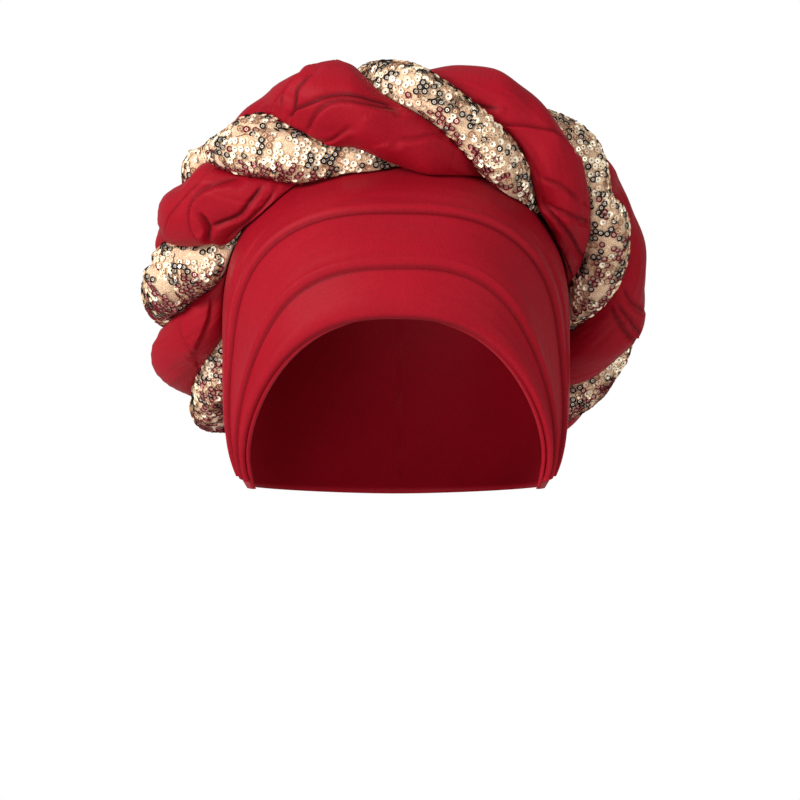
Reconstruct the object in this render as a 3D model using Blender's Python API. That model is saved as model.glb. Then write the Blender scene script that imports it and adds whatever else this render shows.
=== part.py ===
# Turban head wrap: a stretch cap, a pleated front from ear to ear, and a ring of four twisted padded strands
# Metres, +Z up, the face side towards -Y, the origin at the highest point inside the cap

import bpy
import bmesh
import math
from mathutils import Vector

MM = 0.001

# Head that the cap is stretched over
HEAD_BREADTH = 152 * MM
HEAD_FRONT = 94 * MM
HEAD_BACK = 96 * MM
CROWN_RISE = 75 * MM
SIDE_DROP = 72 * MM
SIDE_TUCK = 9.5 * MM
FRONT_TUCK = 3 * MM
BACK_TUCK = 16 * MM
ROUNDNESS = 2.45
SIDE_CURL = 5

# Stretch cap
CAP_WALL = 1.5 * MM
CAP_SETBACK = 3 * MM
NAPE_DROP = 5 * MM
BAND_FIT = 0.6 * MM

# Fan of pleats, which turns about a line from ear to ear
EAR_FORWARD = 40 * MM
EAR_DROP = 5 * MM
EAR_END = 10 * MM
PLEAT_CLOTH = 1.5 * MM
PLEAT_HEIGHT = 2.8 * MM

# Fan angle in degrees of the band's upper edge, under the braid
LAST_ANGLE = 120

# One row for each pleat, lowest first: the fan angles in degrees of its folded lower edge over the forehead
# and beside the ears, of the place where it lies flat again, and its height as a share of PLEAT_HEIGHT
PLEATS = (
    {"middle": 55.0, "side": 57.0, "flat": 61.2, "height": 0.8},
    {"middle": 61.8, "side": 66.0, "flat": 69.8, "height": 1.0},
    {"middle": 71.0, "side": 90.0, "flat": 80.5, "height": 1.1},
)

# How a pleat rises from its folded edge: shares of the way to where it lies flat, and of its height
PLEAT_PROFILE = (
    {"way": 0.0, "height": 0.0},
    {"way": 0.03, "height": 0.62},
    {"way": 0.12, "height": 1.0},
    {"way": 0.3, "height": 0.86},
    {"way": 0.65, "height": 0.32},
)

# Braid ring
ROPE_RADIUS = 27 * MM
FRONT_SINK = 7.5 * MM
SIDE_SINK = 9.5 * MM
BACK_SINK = 5 * MM
ROPE_FIT = 0.7 * MM
RING_FORWARD = 47 * MM
RING_BACK_DROP = 47 * MM

# How far the ring hangs down on one side, and the turn from its top, in degrees, where it hangs most
SIDE_SAG = 9 * MM
SAG_TURN = 240

TWIST_TURNS = 4
TWIST_START = -29

# Degrees by which the twist runs ahead of an even one, and the turn from the ring's top where it leads most
TWIST_LEAD = 62
LEAD_TURN = -30

VALLEY = 0.68
CORE = 0.07
STRAND_GAP = 0.4 * MM
GOLD_SECTOR = 78
LOBE_ROUNDNESS = 0.7
CUSHION = 2 * MM

# Degrees past the band's upper edge over which the braid's seat drops from the band to the bare cap
SEAT_STEP = {"start": 2, "end": 14}

# One row for each strand, in their order round the braid: its share of a quarter turn ahead and its kind
STRANDS = (
    {"name": "braid_gold_a", "quarter": 0, "kind": "gold"},
    {"name": "braid_red_a", "quarter": -1, "kind": "red"},
    {"name": "braid_gold_b", "quarter": -2, "kind": "gold"},
    {"name": "braid_red_b", "quarter": -3, "kind": "red"},
)

# Fineness of the faceted solids
CAP_STEPS_ROUND = 44
CAP_STEPS_DOWN = 14
FAN_STEPS = 40
BACK_STEPS = 6
LINING_STEPS = 14
SECTIONS_PER_TURN = 16
LOBE_STEPS = (-0.93, -0.62, -0.22, 0.22, 0.62, 0.93)
BOUNDARY_STEPS = (0.0, 0.5, 1.0)
SEARCH_STEPS = 36

RED_CLOTH = {"color": (0.42, 0.012, 0.03), "roughness": 0.62, "metallic": 0.0}
GOLD_SEQUINS = {"color": (0.72, 0.5, 0.26), "roughness": 0.35, "metallic": 0.7}

QUARTER_RUN = CROWN_RISE * math.pi / 2
LOWER_EDGE = -(CROWN_RISE + SIDE_DROP)
EAR = Vector((0, -EAR_FORWARD, LOWER_EDGE - EAR_DROP))
BAND_SEAT = CAP_WALL + BAND_FIT
BAND_TOP = BAND_SEAT + PLEAT_CLOTH
FAN_REACH = math.pi / 2 - math.atan2(EAR_END, HEAD_BREADTH / 2 - SIDE_TUCK)


def soft_step(low, high, value):
    share = min(max((value - low) / (high - low), 0.0), 1.0)
    return share * share * (3.0 - 2.0 * share)


# Head form: 1 on the surface that lies offset outside the head, less than 1 inside it
def gauge(point, offset):
    above = point.z + CROWN_RISE
    drop = max(-above, 0.0) / SIDE_DROP
    side = HEAD_BREADTH / 2 - SIDE_TUCK * drop ** SIDE_CURL + offset
    if point.y < 0:
        length = HEAD_FRONT - FRONT_TUCK * drop ** 3 + offset
    else:
        length = HEAD_BACK - BACK_TUCK * drop ** 2 + offset
    total = abs(point.x / side) ** ROUNDNESS + abs(point.y / length) ** ROUNDNESS
    if above > 0:
        total += (above / (CROWN_RISE + offset)) ** ROUNDNESS
    return total ** (1 / ROUNDNESS)


# A point of that surface, reached from the crown by a run down the side that faces azimuth
def meridian_point(azimuth, run, offset):
    if run < QUARTER_RUN:
        rise = math.pi / 2 - run / CROWN_RISE
        centre = Vector((0, 0, -CROWN_RISE))
    else:
        rise = 0.0
        centre = Vector((0, 0, -CROWN_RISE - (run - QUARTER_RUN)))
    aim = Vector((math.sin(azimuth) * math.cos(rise), -math.cos(azimuth) * math.cos(rise), math.sin(rise)))
    return centre + aim / gauge(centre + aim, offset)


# A point of that surface, reached from the ear line by the fan's angle and the sweep towards an ear
def fan_point(sweep, angle, offset):
    aim = Vector((math.sin(sweep), -math.cos(sweep) * math.cos(angle), math.cos(sweep) * math.sin(angle)))
    near = 0.0
    far = 2 * (HEAD_FRONT + HEAD_BACK)
    for _ in range(SEARCH_STEPS):
        middle = (near + far) / 2
        if gauge(EAR + aim * middle, offset) < 1:
            near = middle
        else:
            far = middle
    return EAR + aim * near


def fan_angle(point):
    return math.atan2(point.z - EAR.z, EAR.y - point.y)


# Closed meshes
def add_object(name, points, faces, cloth):
    mesh = bpy.data.meshes.new(name)
    mesh.from_pydata(points, [], faces)
    shape = bmesh.new()
    shape.from_mesh(mesh)
    bmesh.ops.recalc_face_normals(shape, faces=shape.faces)
    shape.to_mesh(mesh)
    shape.free()
    mesh.materials.append(cloth)
    mesh.shade_smooth()
    piece = bpy.data.objects.new(name, mesh)
    bpy.context.scene.collection.objects.link(piece)
    return piece


def add_material(name, look):
    material = bpy.data.materials.new(name)
    material.use_nodes = True
    shader = material.node_tree.nodes["Principled BSDF"]
    shader.inputs["Base Color"].default_value = (*look["color"], 1)
    shader.inputs["Roughness"].default_value = look["roughness"]
    shader.inputs["Metallic"].default_value = look["metallic"]
    return material


# Stretch cap: one shell, open below and at the face
def cap_edge_run(azimuth):
    nape = soft_step(math.pi / 2, math.pi, abs(azimuth))
    lowest = QUARTER_RUN + SIDE_DROP + NAPE_DROP * nape
    face_angle = math.radians(PLEATS[0]["middle"])
    if meridian_point(azimuth, lowest, 0).y > EAR.y:
        return lowest
    short = 0.0
    long = lowest
    for _ in range(SEARCH_STEPS):
        middle = (short + long) / 2
        if fan_angle(meridian_point(azimuth, middle, 0)) > face_angle:
            short = middle
        else:
            long = middle
    return short - CAP_SETBACK


def make_cap(cloth):
    points = []
    faces = []
    for offset in (0.0, CAP_WALL):
        points.append(Vector((0, 0, offset)))
        for turn in range(CAP_STEPS_ROUND):
            azimuth = 2 * math.pi * turn / CAP_STEPS_ROUND
            if azimuth > math.pi:
                azimuth -= 2 * math.pi
            edge = cap_edge_run(azimuth)
            for step in range(1, CAP_STEPS_DOWN + 1):
                points.append(meridian_point(azimuth, edge * step / CAP_STEPS_DOWN, offset))
    shell = 1 + CAP_STEPS_ROUND * CAP_STEPS_DOWN
    for turn in range(CAP_STEPS_ROUND):
        here = 1 + turn * CAP_STEPS_DOWN
        there = 1 + (turn + 1) % CAP_STEPS_ROUND * CAP_STEPS_DOWN
        for side in (0, shell):
            faces.append((side, side + here, side + there))
            for step in range(CAP_STEPS_DOWN - 1):
                near = side + here + step
                far = side + there + step
                faces.append((near, near + 1, far + 1, far))
        rim = CAP_STEPS_DOWN - 1
        faces.append((here + rim, there + rim, shell + there + rim, shell + here + rim))
    return add_object("cap", points, faces, cloth)


# Pleated front: one folded panel, its rows of points running from ear to ear
def pleat_rows():
    rows = []
    for pleat in PLEATS:
        for bend in PLEAT_PROFILE:
            share = bend["way"]
            middle = pleat["middle"] + (pleat["flat"] - pleat["middle"]) * share
            side = pleat["side"] + (pleat["flat"] - pleat["middle"]) * share
            height = PLEAT_HEIGHT * pleat["height"] * bend["height"]
            rows.append({"middle": middle, "side": side, "offset": BAND_TOP + height})
    last = PLEATS[-1]["flat"]
    for step in range(BACK_STEPS + 1):
        angle = last + (LAST_ANGLE - last) * step / BACK_STEPS
        rows.append({"middle": angle, "side": angle, "offset": BAND_TOP})
    return rows


def lining_rows():
    first = PLEATS[0]["middle"]
    angles = [first + (LAST_ANGLE - first) * step / LINING_STEPS for step in range(LINING_STEPS + 1)]
    return [{"middle": angle, "side": angle, "offset": BAND_SEAT} for angle in angles]


def row_angle(row, sweep):
    return math.radians(row["middle"] + (row["side"] - row["middle"]) * math.sin(sweep) ** 2)


def make_pleated_front(cloth):
    rows = pleat_rows()
    inner_rows = lining_rows()
    points = []
    for step in range(FAN_STEPS + 1):
        sweep = FAN_REACH * (2 * step / FAN_STEPS - 1)
        for row in rows:
            points.append(fan_point(sweep, row_angle(row, sweep), row["offset"]))
        for row in reversed(inner_rows):
            points.append(fan_point(sweep, row_angle(row, sweep), row["offset"]))
    ring = len(rows) + len(inner_rows)
    faces = []
    for step in range(FAN_STEPS):
        for corner in range(ring):
            after = (corner + 1) % ring
            here = step * ring
            there = here + ring
            faces.append((here + corner, there + corner, there + after, here + after))
    faces.append(tuple(range(ring)))
    faces.append(tuple(FAN_STEPS * ring + corner for corner in reversed(range(ring))))
    return add_object("pleated_front", points, faces, cloth)


# Braid ring: a tilted ellipse seated on the crown in front, on both sides and at the back of the head
def ring_seats():
    forward = RING_FORWARD / (HEAD_FRONT + BAND_TOP)
    crown = (CROWN_RISE + BAND_TOP) * (1 - forward ** ROUNDNESS) ** (1 / ROUNDNESS) - CROWN_RISE
    front = Vector((0, -RING_FORWARD, crown + ROPE_RADIUS - FRONT_SINK))
    level = -CROWN_RISE - RING_BACK_DROP
    nape = Vector((0, 1, level))
    back = Vector((0, 1 / gauge(nape, CAP_WALL) + ROPE_RADIUS - BACK_SINK, level))
    centre = (front + back) / 2
    inward = gauge(centre, CAP_WALL) ** ROUNDNESS
    side = (HEAD_BREADTH / 2 + CAP_WALL) * (1 - inward) ** (1 / ROUNDNESS)
    side += ROPE_RADIUS - SIDE_SINK
    return centre, (front - back) / 2, Vector((side, 0, 0))


RING_CENTRE, RING_RISE, RING_SIDE = ring_seats()


# The ring's point at a turn from its top, with the directions along it, outwards and across
def ring_frame(turn):
    spot = RING_CENTRE + RING_RISE * math.cos(turn) + RING_SIDE * math.sin(turn)
    spot.z -= SIDE_SAG * max(math.cos(turn - math.radians(SAG_TURN)), 0.0) ** 3
    along = (RING_SIDE * math.cos(turn) - RING_RISE * math.sin(turn)).normalized()
    outward = Vector((RING_SIDE.x * math.sin(turn), 0, RING_RISE.z * math.cos(turn)))
    outward = (outward - along * outward.dot(along)).normalized()
    return spot, outward, along.cross(outward)


# Padding gives way where it meets the cap: points inside the seat move out past it, the rest stay
def seated(point):
    centre = Vector((0, 0, min(point.z, -CROWN_RISE)))
    reach = point - centre
    surface = centre + reach / gauge(point, 0)
    past_band = math.degrees(fan_angle(surface)) - LAST_ANGLE
    if past_band < -180:
        past_band += 360
    bare = soft_step(SEAT_STEP["start"], SEAT_STEP["end"], past_band)
    offset = BAND_TOP + (CAP_WALL - BAND_TOP) * bare + ROPE_FIT
    seat = reach.length / gauge(point, offset)
    over = (reach.length - seat) / CUSHION
    pushed = seat + CUSHION * (max(over, 0.0) + math.log1p(math.exp(-abs(over))))
    return centre + reach * (pushed / reach.length)


def strand_outline(half_sector):
    outline = []
    for share in BOUNDARY_STEPS:
        radius = ROPE_RADIUS * (CORE + (VALLEY - CORE) * share)
        outline.append((radius, -half_sector, STRAND_GAP / 2))
    for share in LOBE_STEPS:
        bulge = math.cos(share * math.pi / 2) ** LOBE_ROUNDNESS
        radius = ROPE_RADIUS * (VALLEY + (1 - VALLEY) * bulge)
        outline.append((radius, share * half_sector, 0.0))
    for share in reversed(BOUNDARY_STEPS):
        radius = ROPE_RADIUS * (CORE + (VALLEY - CORE) * share)
        outline.append((radius, half_sector, -STRAND_GAP / 2))
    return outline


# The twist is drawn out on one side of the ring and crowded on the other
def twist_angle(turn, strand):
    lead = TWIST_LEAD * math.cos(turn - math.radians(LEAD_TURN))
    return TWIST_TURNS * turn + math.radians(TWIST_START + lead + 90 * strand["quarter"])


def strand_section(turn, middle_angle, outline):
    spot, outward, across = ring_frame(turn)
    points = []
    for radius, angle, inset in outline:
        direction = outward * math.cos(middle_angle + angle) + across * math.sin(middle_angle + angle)
        beside = across * math.cos(middle_angle + angle) - outward * math.sin(middle_angle + angle)
        points.append(seated(spot + direction * radius + beside * inset))
    return points


def make_strand(strand, cloth):
    sector = GOLD_SECTOR if strand["kind"] == "gold" else 180 - GOLD_SECTOR
    outline = strand_outline(math.radians(sector / 2))
    sections = TWIST_TURNS * SECTIONS_PER_TURN
    size = len(outline)
    points = []
    for section in range(sections):
        turn = 2 * math.pi * section / sections
        points.extend(strand_section(turn, twist_angle(turn, strand), outline))
    faces = []
    for section in range(sections):
        here = section * size
        there = (section + 1) % sections * size
        for corner in range(size):
            after = (corner + 1) % size
            # Both sides of a valley are split from the inner corner here to the outer corner there
            if corner < len(BOUNDARY_STEPS) - 1:
                faces.append((here + corner, there + corner, there + after))
                faces.append((here + corner, there + after, here + after))
            else:
                faces.append((here + corner, there + corner, here + after))
                faces.append((here + after, there + corner, there + after))
    return add_object(strand["name"], points, faces, cloth)


def clear_scene():
    for item in list(bpy.data.objects):
        bpy.data.objects.remove(item)


def main():
    clear_scene()
    make_cap(add_material("cap_cloth", RED_CLOTH))
    make_pleated_front(add_material("front_cloth", RED_CLOTH))
    for strand in STRANDS:
        look = GOLD_SEQUINS if strand["kind"] == "gold" else RED_CLOTH
        make_strand(strand, add_material(strand["name"] + "_cloth", look))


main()
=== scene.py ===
import math

import bpy
import numpy as np
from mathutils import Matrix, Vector, noise


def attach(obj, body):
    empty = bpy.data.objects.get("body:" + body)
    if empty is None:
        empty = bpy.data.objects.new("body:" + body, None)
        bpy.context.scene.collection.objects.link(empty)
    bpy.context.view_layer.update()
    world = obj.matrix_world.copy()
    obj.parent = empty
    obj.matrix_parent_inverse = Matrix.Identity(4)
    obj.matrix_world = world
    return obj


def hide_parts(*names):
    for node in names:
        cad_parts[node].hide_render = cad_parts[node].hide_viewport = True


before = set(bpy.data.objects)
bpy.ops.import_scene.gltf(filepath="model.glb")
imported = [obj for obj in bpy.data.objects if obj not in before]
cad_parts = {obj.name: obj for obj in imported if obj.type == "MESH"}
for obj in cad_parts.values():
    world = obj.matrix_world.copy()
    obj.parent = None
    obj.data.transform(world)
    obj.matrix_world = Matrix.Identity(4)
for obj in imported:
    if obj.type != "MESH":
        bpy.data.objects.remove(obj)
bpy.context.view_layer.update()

mm = 0.001


# Head that the cap is stretched over: the same sizes as the solids
headForm = {
    "halfBreadth": 76 * mm, "front": 94 * mm, "back": 96 * mm, "crownRise": 75 * mm, "sideDrop": 72 * mm,
    "sideTuck": 9.5 * mm, "frontTuck": 3 * mm, "backTuck": 16 * mm, "roundness": 2.45, "sideCurl": 5,
}


def smoothStep(low, high, value):
    share = np.clip((value - low) / (high - low), 0.0, 1.0)
    return share * share * (3.0 - 2.0 * share)


# 1 on the surface that lies offset outside the head, less than 1 inside it
def headGauge(points, offset):
    h = headForm
    x, y, z = points[..., 0], points[..., 1], points[..., 2]
    above = z + h["crownRise"]
    drop = np.maximum(-above, 0.0) / h["sideDrop"]
    side = h["halfBreadth"] - h["sideTuck"] * drop ** h["sideCurl"] + offset
    length = np.where(y < 0, h["front"] - h["frontTuck"] * drop ** 3, h["back"] - h["backTuck"] * drop ** 2) + offset
    n = h["roundness"]
    total = np.abs(x / side) ** n + np.abs(y / length) ** n
    total = total + (np.maximum(above, 0.0) / (h["crownRise"] + offset)) ** n
    return total ** (1 / n)


# Closed meshes from grids of points
def meshPiece(name, points, faces, uv=None):
    mesh = bpy.data.meshes.new(name)
    mesh.from_pydata(np.asarray(points).tolist(), [], faces)
    if uv is not None:
        layer = mesh.uv_layers.new(name="cloth")
        corners = np.empty(len(mesh.loops), dtype=np.int32)
        mesh.loops.foreach_get("vertex_index", corners)
        layer.data.foreach_set("uv", np.asarray(uv, dtype=np.float32)[corners].ravel())
    mesh.validate()
    mesh.update()
    mesh.shade_smooth()
    piece = bpy.data.objects.new(name, mesh)
    bpy.context.scene.collection.objects.link(piece)
    return piece


def pointValues(piece, name, values):
    layer = piece.data.attributes.new(name, "FLOAT", "POINT")
    layer.data.foreach_set("value", np.asarray(values, dtype=np.float32).ravel())


def faceOutwards(piece):
    bpy.ops.object.select_all(action="DESELECT")
    piece.select_set(True)
    bpy.context.view_layer.objects.active = piece
    bpy.ops.object.mode_set(mode="EDIT")
    bpy.ops.mesh.select_all(action="SELECT")
    bpy.ops.mesh.normals_make_consistent(inside=False)
    bpy.ops.object.mode_set(mode="OBJECT")


def addPiece(piece, node, material):
    piece.data.materials.clear()
    piece.data.materials.append(material)
    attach(piece, "root")
    if node:
        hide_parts(node)


# Cloth materials
redCloth = {
    "surface": {
        "Roughness": 0.52, "Specular IOR Level": 0.08, "Sheen Weight": 0.03, "Sheen Roughness": 0.45,
        "Sheen Tint": (1.0, 0.2, 0.25, 1),
    },
    # fold: the colour of the painted shade laid into the cloth's creases
    "colour": (0.30, 0.0036, 0.0125, 1), "dark": (0.17, 0.0012, 0.0050, 1), "fold": (0.030, 0.0003, 0.0012, 1),
    "knitPitch": 0.55 * mm, "yarnSize": 1.6, "waleSize": 3.2, "broadScale": 38, "broadShare": 0.55,
    "yarnRange": {"From Min": 0.3, "From Max": 0.7, "To Min": 0.2, "To Max": 0.58},
    "knitBump": {"Strength": 0.35, "Distance": 0.1 * mm},
}


# A shader node with its settings and its fixed inputs
def addNode(tree, kind, inputs=None, **settings):
    node = tree.nodes.new("ShaderNode" + kind)
    for key, value in settings.items():
        setattr(node, key, value)
    for key, value in (inputs or {}).items():
        node.inputs[key].default_value = value
    return node


def startMaterial(name, surface):
    material = bpy.data.materials.new(name)
    material.use_nodes = True
    shader = material.node_tree.nodes["Principled BSDF"]
    for key, value in surface.items():
        shader.inputs[key].default_value = value
    return material, material.node_tree, shader


def redKnit(name):
    r = redCloth
    material, tree, shader = startMaterial(name, r["surface"])
    link = tree.links.new
    place = addNode(tree, "TexCoord")
    # Broad, faint shade changes of stretched cloth, and the fine mottle of the yarn
    broad = addNode(tree, "TexNoise", {"Scale": r["broadScale"], "Detail": 3})
    link(place.outputs["Object"], broad.inputs["Vector"])
    yarn = addNode(tree, "TexNoise", {"Scale": 1 / (r["yarnSize"] * r["knitPitch"]), "Detail": 2})
    link(place.outputs["Object"], yarn.inputs["Vector"])
    fine = addNode(tree, "MapRange", r["yarnRange"])
    link(yarn.outputs["Fac"], fine.inputs["Value"])
    shade = addNode(tree, "Math", {1: r["broadShare"]}, operation="MULTIPLY_ADD")
    link(broad.outputs["Fac"], shade.inputs[0])
    link(fine.outputs["Result"], shade.inputs[2])
    blend = addNode(tree, "Mix", {6: r["dark"], 7: r["colour"]}, data_type="RGBA")
    link(shade.outputs[0], blend.inputs[0])
    # Painted shade: cloth deep in a fold is darkened toward the fold colour by the crease attribute
    creaseShade = addNode(tree, "Attribute", attribute_name="creaseShade")
    creaseShaded = addNode(tree, "Mix", {7: r["fold"]}, data_type="RGBA")
    link(creaseShade.outputs["Fac"], creaseShaded.inputs[0])
    link(blend.outputs[2], creaseShaded.inputs[6])
    link(creaseShaded.outputs[2], shader.inputs["Base Color"])
    # Knit wales as a fine bump over the cloth's own coordinates
    waleLooks = {"Scale": 1 / r["knitPitch"] / r["waleSize"], "Distortion": 1.4, "Detail": 1, "Detail Scale": 2}
    wales = addNode(tree, "TexWave", waleLooks, wave_type="BANDS", bands_direction="X")
    link(place.outputs["UV"], wales.inputs["Vector"])
    both = addNode(tree, "Math", operation="ADD")
    link(wales.outputs["Fac"], both.inputs[0])
    link(yarn.outputs["Fac"], both.inputs[1])
    bump = addNode(tree, "Bump", r["knitBump"])
    link(both.outputs[0], bump.inputs["Height"])
    link(bump.outputs["Normal"], shader.inputs["Normal"])
    return material


# Beige net under the sequins: pale threads round small darker holes
goldCloth = {
    "surface": {"Roughness": 0.6, "Sheen Weight": 0.3, "Sheen Roughness": 0.4},
    "thread": (0.90, 0.68, 0.45, 1), "hole": (0.52, 0.31, 0.18, 1), "meshPitch": 0.9 * mm, "threadWidth": 0.16,
    "threadBump": {"Strength": 0.5, "Distance": 0.15 * mm},
}
# Sequin foil: ring is how far out the rim's colour starts, from 0 at the thread hole to 1 at the edge
foilLooks = {
    "surface": {"Roughness": 0.26, "Metallic": 0.3, "Specular IOR Level": 0.25},
    # the hole colour and range paint shade in a thin ring round the thread hole
    "holeShadeColour": (0.05, 0.025, 0.015, 1), "holeShadeRange": {"From Min": 0.05, "From Max": 0.11}, "ringBlur": 0.12,
    "scuffScale": 900, "scuffBump": {"Strength": 0.12, "Distance": 0.1 * mm},
}
# Sequin looks: the near-white centres of the first and third looks are painted highlights, the near-black rim of the
# third is a painted dark reflection, and the dark red rim of the last is a painted reflection of the red cloth
sequinLooks = (
    {"from": 0.00, "centre": (1.0, 0.93, 0.78), "rim": (0.95, 0.80, 0.56), "ring": (0.45, 0.45, 0.45)},
    {"from": 0.36, "centre": (0.90, 0.73, 0.55), "rim": (0.66, 0.45, 0.28), "ring": (0.40, 0.40, 0.40)},
    {"from": 0.50, "centre": (1.0, 0.88, 0.72), "rim": (0.012, 0.008, 0.007), "ring": (0.16, 0.16, 0.16)},
    {"from": 0.72, "centre": (0.66, 0.40, 0.24), "rim": (0.30, 0.15, 0.09), "ring": (0.35, 0.35, 0.35)},
    {"from": 0.88, "centre": (0.85, 0.55, 0.46), "rim": (0.14, 0.008, 0.012), "ring": (0.16, 0.16, 0.16)},
)


def beigeNet(name):
    g = goldCloth
    material, tree, shader = startMaterial(name, g["surface"])
    link = tree.links.new
    place = addNode(tree, "TexCoord")
    cells = addNode(tree, "TexVoronoi", {"Scale": 1 / g["meshPitch"]}, feature="DISTANCE_TO_EDGE")
    link(place.outputs["Object"], cells.inputs["Vector"])
    thread = addNode(tree, "MapRange", {"From Max": g["threadWidth"]})
    link(cells.outputs["Distance"], thread.inputs["Value"])
    blend = addNode(tree, "Mix", {6: g["thread"], 7: g["hole"]}, data_type="RGBA")
    link(thread.outputs["Result"], blend.inputs[0])
    link(blend.outputs[2], shader.inputs["Base Color"])
    bump = addNode(tree, "Bump", g["threadBump"], invert=True)
    link(thread.outputs["Result"], bump.inputs["Height"])
    link(bump.outputs["Normal"], shader.inputs["Normal"])
    return material


# Picks one of the sequin looks by the sequin's own shine value
def stepRamp(tree, source, key):
    ramp = addNode(tree, "ValToRGB")
    ramp.color_ramp.interpolation = "CONSTANT"
    while len(ramp.color_ramp.elements) < len(sequinLooks):
        ramp.color_ramp.elements.new(0.5)
    for element, look in zip(ramp.color_ramp.elements, sequinLooks):
        element.position = look["from"]
        element.color = (*look[key], 1)
    tree.links.new(source, ramp.inputs["Fac"])
    return ramp.outputs["Color"]


def sequinFoil(name):
    f = foilLooks
    material, tree, shader = startMaterial(name, f["surface"])
    link = tree.links.new
    shine = addNode(tree, "Attribute", attribute_name="shine")
    rim = addNode(tree, "Attribute", attribute_name="rim")
    past = addNode(tree, "Math", operation="SUBTRACT")
    link(rim.outputs["Fac"], past.inputs[0])
    link(stepRamp(tree, shine.outputs["Fac"], "ring"), past.inputs[1])
    edge = addNode(tree, "MapRange", {"From Max": f["ringBlur"]})
    link(past.outputs[0], edge.inputs["Value"])
    blend = addNode(tree, "Mix", data_type="RGBA")
    link(edge.outputs["Result"], blend.inputs[0])
    link(stepRamp(tree, shine.outputs["Fac"], "centre"), blend.inputs[6])
    link(stepRamp(tree, shine.outputs["Fac"], "rim"), blend.inputs[7])
    # Painted shade: the foil is darkened in a thin ring round the thread hole in the middle
    hole = addNode(tree, "MapRange", f["holeShadeRange"])
    link(rim.outputs["Fac"], hole.inputs["Value"])
    shadedHole = addNode(tree, "Mix", {6: f["holeShadeColour"]}, data_type="RGBA")
    link(hole.outputs["Result"], shadedHole.inputs[0])
    link(blend.outputs[2], shadedHole.inputs[7])
    link(shadedHole.outputs[2], shader.inputs["Base Color"])
    # Faint scuffs in the foil
    place = addNode(tree, "TexCoord")
    scuff = addNode(tree, "TexNoise", {"Scale": f["scuffScale"]})
    link(place.outputs["Object"], scuff.inputs["Vector"])
    bump = addNode(tree, "Bump", f["scuffBump"])
    link(scuff.outputs["Fac"], bump.inputs["Height"])
    link(bump.outputs["Normal"], shader.inputs["Normal"])
    return material


# Stretch cap: a shell with a turned hem along its open edge
capSizes = {
    "wall": 1.5 * mm, "setback": 3 * mm, "napeDrop": 5 * mm, "stepsRound": 180, "stepsDown": 64,
    "hemWidth": 9 * mm, "hemEdge": 0.92, "hemLift": 0.25 * mm, "stitchPlace": 1.03, "stitchWidth": 0.9 * mm,
    "stitchDepth": 0.35 * mm, "gathers": 46, "gatherDepth": 0.25 * mm, "gatherReach": 22 * mm,
    "gatherFrom": 95, "gatherFull": 150,
}
fan = {"forward": 40 * mm, "drop": 5 * mm, "faceAngle": 55.0, "lastAngle": 120.0, "earEnd": 10 * mm}
lowerEdge = -(headForm["crownRise"] + headForm["sideDrop"])
ear = np.array([0.0, -fan["forward"], lowerEdge - fan["drop"]])


def fanAngle(points):
    return np.arctan2(points[..., 2] - ear[2], ear[1] - points[..., 1])


def meridianPoints(azimuth, run, offset):
    quarter = headForm["crownRise"] * math.pi / 2
    rise = np.maximum(math.pi / 2 - run / headForm["crownRise"], 0.0)
    level = -headForm["crownRise"] - np.maximum(run - quarter, 0.0)
    zero = np.zeros_like(level)
    centre = np.stack([zero, zero, level], axis=-1)
    aim = np.stack([np.sin(azimuth) * np.cos(rise), -np.cos(azimuth) * np.cos(rise), np.sin(rise)], axis=-1)
    return centre + aim / headGauge(centre + aim, offset)[..., None]


def capEdge(azimuth):
    quarter = headForm["crownRise"] * math.pi / 2
    nape = smoothStep(math.pi / 2, math.pi, np.abs(azimuth))
    lowest = quarter + headForm["sideDrop"] + capSizes["napeDrop"] * nape
    behind = meridianPoints(azimuth, lowest, 0.0)[..., 1] > ear[1]
    short = np.zeros_like(azimuth)
    long = lowest.copy()
    for _ in range(36):
        middle = (short + long) / 2
        above = fanAngle(meridianPoints(azimuth, middle, 0.0)) > math.radians(fan["faceAngle"])
        short = np.where(above, middle, short)
        long = np.where(above, long, middle)
    return np.where(behind, lowest, short - capSizes["setback"])


def gridFaces(columns, rows, closed, start=0, flip=False):
    faces = []
    last = columns if closed else columns - 1
    for column in range(last):
        here = start + column * rows
        there = start + (column + 1) % columns * rows
        for row in range(rows - 1):
            quad = (here + row, here + row + 1, there + row + 1, there + row)
            faces.append(quad[::-1] if flip else quad)
    return faces


def makeCap():
    c = capSizes
    around, down = c["stepsRound"], c["stepsDown"]
    azimuth = (np.arange(around) / around * 2 - 1) * math.pi
    edge = capEdge(azimuth)
    share = np.arange(1, down + 1) / down
    run = edge[:, None] * share[None, :]
    wide = np.repeat(azimuth[:, None], down, axis=1)
    fromEdge = edge[:, None] - run
    hem = 1 - smoothStep(c["hemWidth"] * c["hemEdge"], c["hemWidth"], fromEdge)
    stitch = np.exp(-((fromEdge - c["hemWidth"] * c["stitchPlace"]) / c["stitchWidth"]) ** 2)
    back = smoothStep(c["gatherFrom"], c["gatherFull"], np.degrees(np.abs(wide)))
    gather = np.sin(wide * c["gathers"]) * np.exp(-fromEdge / c["gatherReach"]) * back
    outside = c["wall"] + hem * c["hemLift"] - stitch * c["stitchDepth"] + gather * c["gatherDepth"]
    outer = meridianPoints(wide, run, outside)
    inner = meridianPoints(wide, run, np.zeros_like(run))
    shell = around * down
    points = np.concatenate([outer.reshape(-1, 3), inner.reshape(-1, 3), [[0, 0, c["wall"]], [0, 0, 0]]])
    faces = gridFaces(around, down, True) + gridFaces(around, down, True, shell, True)
    for column in range(around):
        here, there = column * down, (column + 1) % around * down
        faces.append((2 * shell, here, there))
        faces.append((2 * shell + 1, shell + there, shell + here))
        rim = down - 1
        faces.append((here + rim, shell + here + rim, shell + there + rim, there + rim))
    along = np.concatenate([wide.ravel(), wide.ravel(), [0, 0]]) * headForm["halfBreadth"]
    deep = np.concatenate([run.ravel(), run.ravel(), [0, 0]])
    cap = meshPiece("stretchCap", points, faces, np.stack([along, deep], axis=1))
    faceOutwards(cap)
    return cap


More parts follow.
